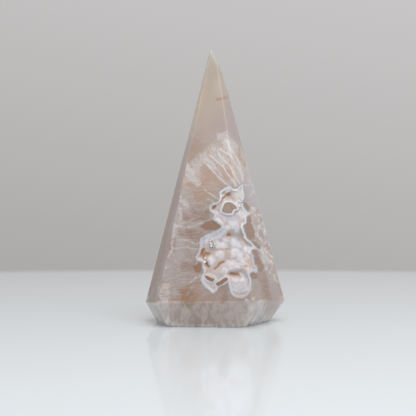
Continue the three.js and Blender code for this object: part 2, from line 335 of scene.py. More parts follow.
# Clear brown quartz, as outlines:
WINDOWS = [
    [(-5.4, 34.1), (-3.6, 35.4), (-0.8, 36.2), (0.8, 35.2), (2.0, 34.0), (0.2, 32.9), (-3.6, 32.7)],
    [(9.7, 35.2), (11.9, 35.4), (13.0, 34.0), (13.7, 31.2), (13.3, 29.6), (11.8, 29.3), (10.3, 31.1)],
    [(11.2, 37.4), (12.4, 37.5), (12.7, 35.4), (10.8, 35.5)],
    [(12.1, 29.0), (14.0, 28.5), (15.5, 27.0), (15.5, 26.0), (14.0, 26.5)],
    [(12.6, 25.9), (13.6, 26.2), (15.1, 24.4), (14.3, 23.4), (12.8, 24.3)],
    [(13.1, 23.6), (14.7, 23.7), (16.1, 21.6), (15.7, 19.6), (13.8, 21.2)],
    [(14.9, 20.7), (16.5, 20.9), (16.9, 19.5), (15.6, 18.3), (14.5, 19.1)],
    [(11.5, 18.2), (13.0, 18.6), (14.1, 18.2), (14.4, 16.2), (12.2, 16.5)],
    [(9.2, 41.9), (10.6, 42.2), (12.1, 40.2), (11.3, 39.2)],
    [(-7.7, 20.8), (-5.2, 21.8), (-4.5, 20.1), (-5.2, 18.5), (-6.9, 18.8)],
]
# Soft white tufts, honey brown and smoky clouds, granular agate, white threads and rust, as lines
# with a half width:
TUFTS = [
    ([(-10.2, 55.2), (-7.3, 50.2)], 2.1),
    ([(-9.8, 52.3), (-6.0, 48.8)], 2.01),
    ([(-12.1, 44.4), (-10.2, 41.6)], 1.6),
    ([(-12.4, 40.2), (-12.7, 35.5)], 1.17),
    ([(-15.1, 28.4), (-15.7, 24.0)], 1.01),
    ([(-17.3, 14.1), (-18.0, 10.1), (-17.0, 5.9)], 2.4),
    ([(-16.7, 19.7), (-15.7, 19.4)], 0.84),
    ([(10.6, 9.8), (12.0, 6.5)], 1.6),
    ([(-14.2, 34.0), (-15.2, 28.4)], 1.4),
    ([(20.9, 16.8), (21.9, 14.2)], 0.8),
    ([(12.4, 49.8), (13.2, 44.8)], 1.0),
    ([(2.3, 64.8), (4.7, 60.9)], 3.02),
    ([(-0.1, 59.8), (3.6, 56.0)], 1.8),
    ([(-2.9, 56.8), (-0.5, 54.7)], 1.4),
    ([(17.2, 25.4), (18.5, 21.3)], 1.5),
    ([(14.0, 7.9), (15.5, 4.1)], 1.68),
]
HONEY = [
    ([(-3.2, 54.0), (-3.6, 45.7)], 2.8), ([(-0.8, 51.2), (1.9, 47.1)], 2.2),
    ([(2.3, 55.3), (5.3, 50.5)], 1.7), ([(-9.0, 48.0), (-5.0, 43.0)], 2.0),
    ([(8.0, 60.6), (9.8, 55.3)], 1.4), ([(-7.3, 24.1), (-5.9, 24.1)], 1.1),
    ([(-6.8, 19.6), (-4.9, 18.1)], 0.9), ([(-11.8, 10.4), (-6.5, 11.6)], 1.7),
    ([(-6.5, 10.2), (-5.8, 13.4)], 1.4),
]
SMOKY = [
    ([(-9.7, 37.2), (-2.5, 37.9)], 2.6), ([(-10.7, 31.4), (-3.6, 30.8)], 2.0),
    ([(-10.0, 21.0), (-6.0, 20.5)], 2.6), ([(16.5, 17.5), (19.5, 10.5)], 2.6),
    ([(2.9, 13.4), (3.2, 10.0)], 2.2),
]
GRANULAR = [([(13.6, 38.6), (16.2, 33.6), (18.1, 27.1), (19.0, 20.4)], 3.6)]
THREADS = [
    ([(1.6, 60.6), (5.7, 57.8), (8.6, 53.5), (9.5, 50.0)], 0.5),
    ([(3.7, 63.7), (6.1, 59.6), (8.6, 55.6)], 0.5),
    ([(-1.9, 58.5), (2.3, 54.7), (4.9, 51.2), (7.2, 47.7)], 0.36),
    ([(0.9, 59.2), (4.3, 55.3), (6.9, 51.2), (8.5, 48.6)], 0.4),
    ([(6.1, 60.0), (8.3, 55.9), (9.7, 51.4)], 0.35),
    ([(-3.6, 55.7), (-0.5, 52.6), (2.2, 49.5), (5.0, 47.6)], 0.34),
    ([(-14.1, 34.1), (-10.7, 33.8), (-7.3, 34.0), (-4.2, 35.2)], 0.4),
    ([(-12.7, 29.7), (-9.3, 29.4), (-5.6, 27.8)], 0.37),
    ([(-14.0, 26.4), (-10.0, 27.1), (-5.6, 26.4)], 0.34),
    ([(-3.6, 46.4), (-1.2, 44.7), (1.2, 43.3)], 0.4),
    ([(-2.5, 43.3), (0.2, 42.3), (1.2, 42.0)], 0.34),
    ([(9.6, 48.6), (11.9, 48.0)], 0.3),
    ([(11.6, 38.5), (13.6, 39.5)], 0.3),
    ([(15.1, 26.1), (16.7, 25.2), (16.6, 22.5)], 0.34),
    ([(-5.2, 23.4), (-6.6, 21.4)], 0.34),
    ([(-4.9, 17.8), (-6.6, 16.8), (-8.6, 15.1)], 0.37),
    ([(-12.1, 34.5), (-8.7, 36.2), (-5.3, 37.5)], 0.3),
    ([(12.2, 10.0), (12.8, 10.3)], 0.6),
]
RUST = [
    ([(-9.6, 14.1), (-7.2, 15.0), (-4.5, 14.8)], 0.4),
    ([(-11.0, 10.1), (-9.8, 10.2)], 0.9),
    ([(0.8, 78.1), (2.3, 78.4), (3.8, 79.3)], 0.74),
    ([(5.3, 40.9), (5.8, 39.9)], 0.47),
]
# Edges of the stone's mesh: RIM_EDGE long within RIM_BAND of the rim and the threads, longer away
# from them by EDGE_GROWTH a mm, and so DEPTH_GROWTH times sooner below the polish, where no colour
# is marked.
RIM_EDGE = 0.34
RIM_BAND = 1
EDGE_GROWTH = 0.11
DEPTH_GROWTH = 8
REFINING_PASSES = 8


def longest_edge(x, y, z):
    """How long an edge of the stone's mesh may be at (x, y, z)."""
    fine = [[*RIM, RIM[0]], *(line for line, _ in THREADS + RUST)]
    away = np.minimum.reduce([line_distance(x, z, line) for line in fine])
    below = DEPTH_GROWTH * (y - polish(x, z))
    return RIM_EDGE + EDGE_GROWTH * np.maximum(np.hypot(away, below) - RIM_BAND, 0)


def refined(mesh):
    """The mesh with its edges halved until hardly one is longer than longest_edge allows."""
    work = bmesh.new()
    work.from_mesh(mesh)
    bmesh.ops.scale(work, verts=work.verts[:], vec=(1 / MM, 1 / MM, 1 / MM))
    bmesh.ops.triangulate(work, faces=work.faces[:])
    for _ in range(REFINING_PASSES):
        work.verts.index_update()
        allowed = longest_edge(*np.array([v.co for v in work.verts]).T)
        too_long = [
            e for e in work.edges
            if e.calc_length() > max(allowed[e.verts[0].index], allowed[e.verts[1].index])
        ]
        bmesh.ops.subdivide_edges(work, edges=too_long, cuts=1)
        split = [f for f in work.faces if len(f.verts) > 3]
        bmesh.ops.triangulate(work, faces=split)
    bmesh.ops.scale(work, verts=work.verts[:], vec=(MM, MM, MM))
    work.to_mesh(mesh)
    work.free()
    return mesh


def stone_mesh():
    """The ground form, chipped and pitted, with the hollow cut out of it."""
    mesh = bpy.data.meshes.new("polished_agate")
    tower_form.to_mesh(mesh)
    for cut in (scoop(*CHIP), *(scoop(*pit) for pit in SKIN_PITS), hollow_void()):
        mesh = combined(mesh, cut, "DIFFERENCE")
    return refined(mesh)


# A mark fades out at this many times its line's half width, and a window between these distances
# from its outline, from inside it to outside.
LINE_END = 1.2
WINDOW_EDGE = (-0.5, 0.45)
# Swirls that move the marks about, as (size, reach): wide and small ones for the clouds, and gentle
# ones for the threads.
WIDE_SWIRLS = (3.5, 1.6)
SMALL_SWIRLS = (1.1, 0.6)
THREAD_SWIRLS = (2.5, 0.4)
# How thick a skin of the stone takes the marks, how far inside the rim its colour still shows, and
# the most that is stored of the distance from it.
MARKED_SKIN = 0.3
RIM_LIP = 0.1
RIM_AWAY = 9


def noise_places(x, z, layer, size):
    """Where a layer of noise is read for each (x, z), so that its features have a size."""
    return [Vector((px, layer, pz)) / size for px, pz in zip(np.ravel(x), np.ravel(z))]


def wandering(x, z, size, reach):
    """The places (x, z) moved about by up to reach, in swirls of a size."""
    moves = np.array([noise.noise_vector(at) for at in noise_places(x, z, WANDER_LAYER, size)])
    return [
        place + reach * moves[:, axis].reshape(np.shape(place)) for place, axis in ((x, 0), (z, 2))
    ]


def line_share(x, z, lines):
    """1 on the lines, falling to 0 a little past their half width."""
    share = np.zeros(np.shape(x))
    for line, reach in lines:
        share = np.maximum(share, 1 - smoothstep(0, LINE_END, line_distance(x, z, line) / reach))
    return share


def places_of(mesh):
    """The x, y and z of each vertex, in mm."""
    points = np.zeros(len(mesh.vertices) * 3)
    mesh.vertices.foreach_get("co", points)
    return (points.reshape(-1, 3) / MM).T


def store_marks(mesh, marks):
    """Keeps each mark as an attribute of the mesh, one number for each vertex."""
    for name, numbers in marks.items():
        layer = mesh.attributes.new(name, "FLOAT", "POINT")
        layer.data.foreach_set("value", numbers.astype(np.float32))


def mark_stone(mesh):
    """Stores what the colours need at each vertex: mm from the rim, and each mark's share."""
    x, y, z = places_of(mesh)
    polished = (np.abs(y - polish(x, z)) < MARKED_SKIN) | ((z < MARKED_FOOT) & (y < 0))
    rim = loop_distance(x, z, rim_loop)
    strayed = wandering(*wandering(x, z, *WIDE_SWIRLS), *SMALL_SWIRLS)
    curled = wandering(x, z, *THREAD_SWIRLS)
    island = np.where(rim < 0, 1.0, 0.0)
    windows = [1 - smoothstep(*WINDOW_EDGE, loop_distance(x, z, outline)) for outline in WINDOWS]
    marks = {
        "clear": np.maximum.reduce([island, *windows]), "island": island,
        "tuft": line_share(*strayed, TUFTS), "honey": line_share(*strayed, HONEY),
        "smoky": line_share(*strayed, SMOKY), "granular": line_share(*strayed, GRANULAR),
        "thread": line_share(*curled, THREADS), "rust": line_share(*curled, RUST),
    }
    marks = {name: share * polished for name, share in marks.items()}
    marks["rim"] = np.where(polished & (rim > -RIM_LIP), np.clip(rim, 0, RIM_AWAY), RIM_AWAY)
    store_marks(mesh, marks)


def linear(hex_colour):
    """An sRGB hex colour as the linear RGBA that a socket takes."""
    channels = [int(hex_colour[i:i + 2], 16) / 255 for i in (0, 2, 4)]
    return [*(c / 12.92 if c <= 0.04045 else ((c + 0.055) / 1.055) ** 2.4 for c in channels), 1]


def add(tree, kind, inputs=None, **settings):
    """One more node in the tree, with its settings, its values and its links."""
    made = tree.nodes.new(kind)
    for name, value in settings.items():
        setattr(made, name, value)
    for name, value in (inputs or {}).items():
        if isinstance(value, bpy.types.NodeSocket):
            tree.links.new(value, made.inputs[name])
        else:
            made.inputs[name].default_value = value
    return made


def new_material(name):
    """An empty material and its tree of nodes."""
    material = bpy.data.materials.new(name)
    material.use_nodes = True
    material.node_tree.nodes.clear()
    return material, material.node_tree


def in_mm(tree):
    """The place on the piece, in mm."""
    place = add(tree, "ShaderNodeTexCoord").outputs["Object"]
    return add(
        tree, "ShaderNodeVectorMath", {0: place, "Scale": 1 / MM}, operation="SCALE"
    ).outputs[0]


def stored_marks(tree, names):
    """The marks that the mesh keeps, by name."""
    return {
        name: add(tree, "ShaderNodeAttribute", attribute_name=name).outputs["Fac"] for name in names
    }


def layered(tree, colour, layers):
    """The colour with each layer laid over it in turn: (share, colour)."""
    for share, over in layers:
        mix = add(tree, "ShaderNodeMix", {"Factor": share, "A": colour, "B": over}, data_type="RGBA")
        colour = mix.outputs["Result"]
    return colour


def shade_of(tree, value, low, high, top=1.0):
    """A smooth share: 0 where the value is at low, top where it is at high."""
    return add(
        tree, "ShaderNodeMapRange", {"Value": value, "From Min": low, "From Max": high, "To Max": top},
        interpolation_type="SMOOTHSTEP",
    ).outputs[0]


def both(tree, share, within):
    """One share within another: their product."""
    return add(tree, "ShaderNodeMath", {0: share, 1: within}, operation="MULTIPLY").outputs[0]


# The line that the stone grew round, down the middle of the hollow, and how far out its ring of
# tufts lies at either end of it.
HEART_TOP = Vector((6.7, -11.5, 46.4))
HEART_FOOT = Vector((4.1, -16.5, 15.5))
RING_TOP = 18.5
RING_FOOT = 22.5
# As shares of its distance: how far the ring sways in and out, where it ends and is whole, and where
# its pale edge starts and is full. Then how far the bands round it sway, and how many there are in it.
RING_SWAY = 0.45
RING_END = (1.26, 1.12)
RING_EDGE = (0.85, 1.12)
BAND_SWAY = 0.1
BANDS = 3.6
# The fibres fan out from the heart, so they are as fine as their noise at FAN_RADIUS, finer nearer to
# it and coarser further out. They are drawn out lengthwise, and bent by BEND in BEND_WAVES a mm.
FAN_RADIUS = 14.0
FIBRE_STRETCH = 0.13
BEND = 3.0
BEND_WAVES = 0.12
# Curtains and drifts of colour are drawn out upwards.
DRAWN_UP = (1.0, 1.0, 0.22)
# Granules in a mm of the right edge, how much the grain of the stone frays them, and between which
# distances from the middle of its cell, as shares, one turns white.
GRANULES = 0.52
GRANULE_FRAY = 0.6
GRANULE_EDGE = (0.88, 0.62)
# How much noise frays a mark, and where it starts and is full once frayed.
MARK_FRAY = 1.4
FRAYED_EDGE = (0.85, 1.5)
# Tufts are feathered down to this share of their white.
TUFT_LEAST = 0.2
# The white next to the rim ends at the first of these distances from it, and is full at the second.
WHITE_EDGE = (0.35, 0.05)
# All forms of quartz bend light alike, and it scatters about this deep in cloudy agate.
QUARTZ_IOR = 1.54
AGATE_DEPTH = 4

# Soft clouds of colour in the stone, some of them painted light or painted shade as their names say: a
# centre, how far out it is full and where it ends, and its share.
CLOUDS = {
    "violet shoulder": ((9, 0, 68), 5, 17, 0.7),
    "warm shoulder": ((-16, 0, 72), 8, 22, 0.5),
    "warm front": ((-8, -9, 59), 3, 10, 0.6),
    # A yellowish painted highlight along the left crown edge.
    "left edge painted highlight": ((-18, 12, 78), 17, 23, 0.9),
    "shaded foot": ((-30, -12, 22), 14, 42, 0.9),
    "shaded flank": ((-26, -2, 52), 10, 26, 0.5),
    "golden fan": ((-4, -14, 47), 3, 10, 0.45),
    "lilac right": ((15, -2, 47), 4, 11, 0.8),
    "left corner shade": ((-22, -8, 5), 5, 10, 0.95),
    "right corner shade": ((22, -7, 5), 4, 9, 0.6),
    # Painted light on the foot's corners, against the contact shadow.
    "left corner painted light": ((-21.5, -9, 0), 7, 11, 0.95),
    "right corner painted light": ((17, -10, 0), 7, 14, 0.95),
    "amber knot": ((-9.5, -17, 10.5), 1.5, 5, 0.9),
    "brown right": ((17.5, -9, 11.5), 2, 6, 0.5),
    "violet edge": ((21.5, -4, 12.5), 2.5, 6, 0.8),
    "honey foot": ((-6, -18, 4), 4, 11, 0.4),
}
# Heights over which a colour comes in: where it starts, and where it is full.
LEVELS = {
    "bands": (75, 40), "ring": (8, 12), "feathers": (43, 52), "curtains": (20, 9),
    # The foot's glow, its pale band, its light bottom edge and its corner gleams are painted light.
    "foot": (9.6, 8.8), "painted pale foot": (3.5, 0), "orange foot": (3.5, 1.5), "painted light edge": (1.6, 0.2),
    "left painted light": (5.5, 2), "right painted light": (5.5, 1.5), "brown islands": (24, 26),
    "amber islands": (24, 22), "bright threads": (44, 50), "rim": (10.5, 14),
}

CLEAR_BROWN = linear("8e6a52")
ISLAND_BROWN = linear("a58d7f")
ISLAND_AMBER = linear("a07050")
HONEY_BROWN = linear("ad8e7b")
BODY_GREY = linear("a29691")
BODY_BROWN = linear("9d897f")
RING_PALE = linear("b1a8a6")
FIBRE_PALE = linear("b8aeac")
FEATHER_BASE = linear("b7a59b")
FEATHER_PALE = linear("c9c2c0")
TUFT_WHITE = linear("c9c7c6")
THREAD_WHITE = linear("dedada")
GRANULE_DARK = linear("9c8a85")
GRANULE_PALE = linear("bdb0aa")
GRANULE_WHITE = linear("eae4e1")
LILAC = linear("b3aeb3")
VIOLET = linear("a89a9a")
SMOKE = linear("a08b80")
SHADED_SIDE = linear("8c6650")
WARM_SIDE = linear("b7a99c")
# A yellowish painted highlight along the left crown edge.
EDGE_PAINTED_HIGHLIGHT = linear("c2b098")
WARM_CLOUD = linear("a38c80")
GOLDEN = linear("b09a86")
AMBER = linear("96745c")
BAND_PALE = linear("bfb4ac")
BAND_BROWN = linear("94796a")
# The foot's glow, pale and light colours are painted light for the light that the table sends into the
# stone; its shade colour is painted shade.
FOOT_PAINTED_GLOW = linear("c3b6af")
FOOT_WARM = linear("a99488")
FOOT_SHADE = linear("836b60")
FOOT_PAINTED_PALE = linear("dcd2cc")
FOOT_PAINTED_LIGHT = linear("f2ebe6")
FOOT_ORANGE = linear("bb9a86")
FOOT_HONEY = linear("9c8371")
RIM_WHITE = linear("d2d0d5")
IRON_RUST = linear("a07440")
# Milky agate from the foot to the tip, as (share of the height, colour).
MILK = [
    (0.0, "a79890"), (0.08, "a3938a"), (0.3, "ab9c95"), (0.5, "b0a39a"), (0.72, "aea197"),
    (0.88, "b3aa9c"), (0.95, "adaca0"), (1.0, "a9ab9e"),
]
MILK_TOP = 97.0


def round_the_heart(tree, here):
    """The nearest place on the heart, the way out from it, and a share that is 1 at the ring."""
    heart = HEART_FOOT - HEART_TOP
    from_top = add(
        tree, "ShaderNodeVectorMath", {0: here, 1: HEART_TOP}, operation="SUBTRACT"
    ).outputs[0]
    along = add(
        tree, "ShaderNodeVectorMath", {0: from_top, 1: heart / heart.length_squared},
        operation="DOT_PRODUCT",
    ).outputs["Value"]
    down = add(tree, "ShaderNodeClamp", {"Value": along}).outputs[0]
    step = add(tree, "ShaderNodeVectorMath", {0: heart, "Scale": down}, operation="SCALE").outputs[0]
    nearest = add(tree, "ShaderNodeVectorMath", {0: step, 1: HEART_TOP}, operation="ADD").outputs[0]
    outward = add(
        tree, "ShaderNodeVectorMath", {0: here, 1: nearest}, operation="SUBTRACT"
    ).outputs[0]
    distance = add(tree, "ShaderNodeVectorMath", {0: outward}, operation="LENGTH").outputs["Value"]
    reach = add(
        tree, "ShaderNodeMapRange", {"Value": down, "To Min": RING_TOP, "To Max": RING_FOOT}
    ).outputs[0]
    shell = add(tree, "ShaderNodeMath", {0: distance, 1: reach}, operation="DIVIDE").outputs[0]
    return nearest, outward, shell


def fan_place(tree, here, nearest, outward):
    """The place as the fibres see it: it changes slowly along them and fast across."""
    way = add(tree, "ShaderNodeVectorMath", {0: outward}, operation="NORMALIZE").outputs[0]
    bend = add(tree, "ShaderNodeTexNoise", {"Vector": here, "Scale": BEND_WAVES, "Detail": 1.0})
    bend = add(
        tree, "ShaderNodeVectorMath", {0: bend.outputs["Color"], "Scale": BEND}, operation="SCALE"
    ).outputs[0]
    fan = add(
        tree, "ShaderNodeVectorMath", {0: way, "Scale": FAN_RADIUS}, operation="SCALE"
    ).outputs[0]
    stretch = add(
        tree, "ShaderNodeVectorMath", {0: outward, "Scale": FIBRE_STRETCH}, operation="SCALE"
    ).outputs[0]
    for part in (nearest, stretch, bend):
        fan = add(tree, "ShaderNodeVectorMath", {0: fan, 1: part}, operation="ADD").outputs[0]
    return fan


def milk_colour(tree, height):
    """Milky agate, as its colour changes up the stone."""
    share = add(tree, "ShaderNodeMapRange", {"Value": height, "From Max": MILK_TOP}).outputs[0]
    milk = add(tree, "ShaderNodeValToRGB", {"Fac": share})
    ramp = milk.color_ramp
    while len(ramp.elements) < len(MILK):
        ramp.elements.new(0.5)
    for element, (position, colour) in zip(ramp.elements, MILK):
        element.position = position
        element.color = linear(colour)
    return milk.outputs[0]


def polished_agate():
    """Agate is microcrystalline quartz, ground and polished: a glassy face over a cloudy depth."""
    material, tree = new_material("polished agate")
    here = in_mm(tree)
    height = add(tree, "ShaderNodeSeparateXYZ", {0: here}).outputs["Z"]
    marks = stored_marks(
        tree, ("rim", "clear", "island", "tuft", "honey", "smoky", "granular", "thread", "rust")
    )
    nearest, outward, shell = round_the_heart(tree, here)
    fan = fan_place(tree, here, nearest, outward)
    drawn_up = add(
        tree, "ShaderNodeVectorMath", {0: here, 1: DRAWN_UP}, operation="MULTIPLY"
    ).outputs[0]

    # Noise fields: what they follow, features per mm, detail and roughness.
    fields = {
        name: add(
            tree, "ShaderNodeTexNoise",
            {"Vector": vector, "Scale": scale, "Detail": detail, "Roughness": rough},
        ).outputs["Fac"]
        for name, vector, scale, detail, rough in (
            ("sway", here, 0.13, 3.0, 0.5), ("drift", drawn_up, 0.12, 2.0, 0.5),
            ("fibre", fan, 1.7, 3.0, 0.6), ("speck", here, 1.1, 4.0, 0.7),
            ("grain", here, 2.8, 2.0, 0.6), ("body", here, 0.35, 5.0, 0.65),
            ("curtain", drawn_up, 0.55, 4.0, 0.65),
        )
    }
    bent = add(
        tree, "ShaderNodeMath", {0: fields["sway"], 1: RING_SWAY, 2: shell},
        operation="MULTIPLY_ADD",
    ).outputs[0]
    # Faint bands round the ring, further out: the same all along a shell, and clouded.
    shells = add(
        tree, "ShaderNodeMath", {0: fields["body"], 1: BAND_SWAY, 2: bent},
        operation="MULTIPLY_ADD",
    ).outputs[0]
    fields["band"] = add(
        tree, "ShaderNodeTexNoise", {"W": shells, "Scale": BANDS, "Detail": 3.0, "Roughness": 0.6},
        noise_dimensions="1D",
    ).outputs["Fac"]

    def mottle(field, low, high, top=1.0):
        """A share that a noise field gives: 0 where it is at low, top where it is at high."""
        return shade_of(tree, fields[field], low, high, top)

    def cloud(name):
        """The share of a soft cloud of colour."""
        centre, inner, outer, top = CLOUDS[name]
        away = add(tree, "ShaderNodeVectorMath", {0: here, 1: centre}, operation="DISTANCE")
        return shade_of(tree, away.outputs["Value"], outer, inner, top)

    def level(name, top=1.0):
        """A share that comes in with the height."""
        return shade_of(tree, height, *LEVELS[name], top)

    def ragged(mark, field, top):
        """A mark whose edges a noise field frays."""
        frayed = add(
            tree, "ShaderNodeMath", {0: fields[field], 1: MARK_FRAY, 2: marks[mark]},
            operation="MULTIPLY_ADD",
        )
        return shade_of(tree, frayed.outputs[0], *FRAYED_EDGE, top)

    streaks = layered(tree, BODY_GREY, [(mottle("body", 0.42, 0.6, 0.9), BODY_BROWN)])
    feathers = layered(tree, FEATHER_BASE, [(mottle("fibre", 0.44, 0.6), FEATHER_PALE)])
    cells = add(tree, "ShaderNodeTexVoronoi", {"Vector": here, "Scale": GRANULES})
    rough_cells = add(
        tree, "ShaderNodeMath",
        {0: fields["grain"], 1: GRANULE_FRAY, 2: cells.outputs["Distance"]},
        operation="MULTIPLY_ADD",
    ).outputs[0]
    flecks = shade_of(tree, rough_cells, *GRANULE_EDGE, 0.95)
    granules = layered(
        tree, GRANULE_DARK,
        [
            (mottle("body", 0.4, 0.6), GRANULE_PALE),
            (both(tree, flecks, mottle("speck", 0.42, 0.56)), GRANULE_WHITE),
        ],
    )
    in_ring = both(tree, shade_of(tree, bent, *RING_END), level("ring"))
    feathered = add(
        tree, "ShaderNodeMath",
        {
            0: both(tree, mottle("fibre", 0.3, 0.55), mottle("grain", 0.3, 0.6)),
            1: 1 - TUFT_LEAST, 2: TUFT_LEAST,
        },
        operation="MULTIPLY_ADD",
    ).outputs[0]

    # Each layer is where it shows and its colour, from the body outwards to the marks.
    colour = layered(
        tree, milk_colour(tree, height),
        [
            # Clouds in the milky body, painted shade on the left side, a yellowish painted highlight
            # along the left crown edge, and faint bands low down and far from the hollow.
            (mottle("drift", 0.45, 0.68, 0.5), SMOKE),
            (cloud("violet shoulder"), VIOLET),
            (cloud("warm shoulder"), WARM_SIDE),
            (both(tree, cloud("warm front"), mottle("body", 0.35, 0.55)), WARM_CLOUD),
            (cloud("left edge painted highlight"), EDGE_PAINTED_HIGHLIGHT),
            (cloud("shaded foot"), SHADED_SIDE),
            (cloud("shaded flank"), SHADED_SIDE),
            (both(tree, level("bands", 0.4), mottle("band", 0.48, 0.68)), BAND_PALE),
            (both(tree, level("bands", 0.35), mottle("band", 0.52, 0.34)), BAND_BROWN),
            # The ring of fibres round the hollow, paler at its edge and feathery at the top.
            (in_ring, streaks),
            (both(tree, in_ring, shade_of(tree, bent, *RING_EDGE, 0.6)), RING_PALE),
            (both(tree, in_ring, level("feathers")), feathers),
            (cloud("golden fan"), GOLDEN),
            (both(tree, in_ring, mottle("grain", 0.52, 0.66, 0.45)), TUFT_WHITE),
            (both(tree, in_ring, mottle("speck", 0.46, 0.32, 0.4)), BODY_BROWN),
            (cloud("lilac right"), LILAC),
            # The foot, painted light and shade: its bevel is painted lighter for the light that the
            # table sends into it, its side corners are painted darker, and its corners and bottom edge
            # are painted near white against the contact shadow.
            (level("foot", 0.9), FOOT_PAINTED_GLOW),
            (both(tree, cloud("left corner shade"), level("foot")), FOOT_SHADE),
            (both(tree, cloud("right corner shade"), level("foot")), FOOT_SHADE),
            (level("painted pale foot", 0.85), FOOT_PAINTED_PALE),
            (both(tree, level("orange foot", 0.7), mottle("speck", 0.45, 0.62)), FOOT_ORANGE),
            (both(tree, cloud("left corner painted light"), level("left painted light")), FOOT_PAINTED_LIGHT),
            (both(tree, cloud("right corner painted light"), level("right painted light")), FOOT_PAINTED_LIGHT),
            (level("painted light edge", 0.9), FOOT_PAINTED_LIGHT),
            (both(tree, mottle("curtain", 0.42, 0.62, 0.65), level("curtains")), FOOT_WARM),
            # The marks, from the deepest to those on top.
            (ragged("granular", "speck", 0.9), granules),
            (ragged("smoky", "speck", 0.5), CLEAR_BROWN),
            (ragged("honey", "speck", 0.6), HONEY_BROWN),
            (both(tree, cloud("amber knot"), mottle("curtain", 0.3, 0.5)), AMBER),
            (cloud("brown right"), CLEAR_BROWN),
            (cloud("violet edge"), VIOLET),
            (both(tree, cloud("honey foot"), mottle("curtain", 0.3, 0.6)), FOOT_HONEY),
            (both(tree, in_ring, mottle("fibre", 0.5, 0.68, 0.65)), FIBRE_PALE),
            (both(tree, ragged("tuft", "speck", 0.95), feathered), TUFT_WHITE),
            (ragged("clear", "fibre", 0.85), CLEAR_BROWN),
            (both(tree, marks["island"], level("brown islands")), ISLAND_BROWN),
            (both(tree, marks["island"], level("amber islands")), ISLAND_AMBER),
            (both(tree, marks["thread"], mottle("speck", 0.35, 0.55, 0.5)), THREAD_WHITE),
            (both(tree, marks["thread"], level("bright threads", 0.45)), THREAD_WHITE),
            (both(tree, marks["rust"], mottle("speck", 0.3, 0.5, 0.7)), IRON_RUST),
            (both(tree, shade_of(tree, marks["rim"], *WHITE_EDGE, 0.9), level("rim")), RIM_WHITE),
        ],
    )
    shader = add(
        tree, "ShaderNodeBsdfPrincipled",
        {
            "Base Color": colour, "Roughness": 0.35, "IOR": QUARTZ_IOR, "Subsurface Weight": 0.85,
            "Subsurface Scale": AGATE_DEPTH * MM, "Subsurface Radius": (1.0, 0.8, 0.7),
            "Coat Weight": 1.0, "Coat Roughness": 0.03, "Coat IOR": QUARTZ_IOR,
        },
    )
    add(tree, "ShaderNodeOutputMaterial", {"Surface": shader.outputs[0]})
    return material


stone_surface = stone_mesh()
mark_stone(stone_surface)
stone_surface.materials.clear()
stone_surface.materials.append(polished_agate())
stone = object_from("polished_agate", stone_surface)
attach(stone, "root")
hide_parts("agate_tower")

# ---------------------------------------------------------------------------------------------------
# The lining of the hollow: one crust of bluish white chalcedony, its cut edge standing as a thin rim
# level with the polish. Inside it swells into soft merging lumps, with rusty stain and painted shade
# in the grooves and on the floor between them, sugary with fine quartz at the top, and with nests of
# clear points at the left.
# ---------------------------------------------------------------------------------------------------

# The rim's top lies FLUSH below the polish. Its width varies between two values in waves of
# RIM_WAVE, the more so the larger RIM_VARIETY is, and the lining falls away from it over RIM_FALL.
FLUSH = 0.02
RIM_WIDTH = (0.2, 0.6)
RIM_WAVE = 1.6
RIM_VARIETY = 0.8
RIM_FALL = 0.8
# The mesh of the lining's face has a point at every FACE_STEP, and its block reaches back to
# FACE_BACK. The lining keeps BED_GAP off the stone behind it and runs OVERLAP into the stone round it.
FACE_STEP = 0.14
FACE_BACK = 10
BED_GAP = 0.1
OVERLAP = 0.05

# The lining's face lies at this share of the hollow's depth, before its lumps, and never less than
# this far below its rim.
FACE_SHARE = 0.5
LEAST_DEPTH = 0.08
# Lumps of the lining (x, z, radius, height), and the share of that height that they stand up.
LUMPS = [
    (0.5, 27.6, 1.5, 0.4), (2.6, 27.3, 1.4, 0.45), (6.0, 28.7, 1.6, 0.5), (8.2, 27.9, 1.4, 0.5),
    (6.4, 25.0, 1.9, 0.7), (8.2, 24.2, 1.5, 0.5), (10.3, 26.2, 1.3, 0.6), (1.6, 24.9, 1.6, 0.5),
    (5.2, 20.9, 1.8, 0.7), (6.9, 20.6, 1.5, 0.6), (3.0, 18.9, 1.3, 0.45), (8.9, 21.9, 1.2, 0.4),
    (11.3, 19.4, 1.3, 0.5), (9.9, 19.0, 1.2, 0.4), (-1.6, 22.6, 1.4, 0.35), (7.9, 14.4, 2.9, 0.8),
    (6.4, 13.4, 2.0, 0.5), (9.6, 13.6, 2.0, 0.5), (8.3, 16.7, 1.6, 0.6), (-2.8, 15.2, 1.5, 0.4),
    (-1.2, 13.7, 1.5, 0.35), (-4.0, 16.3, 1.1, 0.3), (4.4, 14.6, 1.2, 0.3), (6.4, 34.0, 1.9, 0.35),
    (3.9, 33.4, 1.2, 0.25), (2.2, 37.2, 2.0, 0.2), (7.6, 45.0, 1.6, 0.35), (8.3, 41.4, 1.5, 0.5),
    (9.2, 38.5, 1.7, 0.35), (6.0, 36.0, 1.8, 0.1), (0.5, 31.0, 1.7, 0.35), (2.6, 32.2, 1.3, 0.25),
    (-1.8, 30.4, 1.4, 0.3), (0.6, 41.6, 1.2, 0.25), (2.6, 43.6, 1.2, 0.25), (4.5, 46.7, 1.2, 0.4),
    (6.1, 46.2, 1.1, 0.4), (-3.2, 29.8, 1.5, 0.2), (-0.7, 28.4, 1.3, 0.35), (3.6, 30.0, 1.2, 0.2),
    (10.6, 23.6, 1.1, 0.3),
]
LUMP_SHARE = 0.6
# Where two lumps meet, this share of the lower is added to the higher. A lump turns white between
# these shares of its height, and between the lumps the colour is painted darker for their shade.
LUMP_MERGE = 0.3
LUMP_EDGE = (0.02, 0.75)
# Swirls that move the outlines of the lumps and of their stains, as (size, reach).
LUMP_SWIRLS = (2.2, 0.6)
STAIN_SWIRLS = (1.3, 0.4)
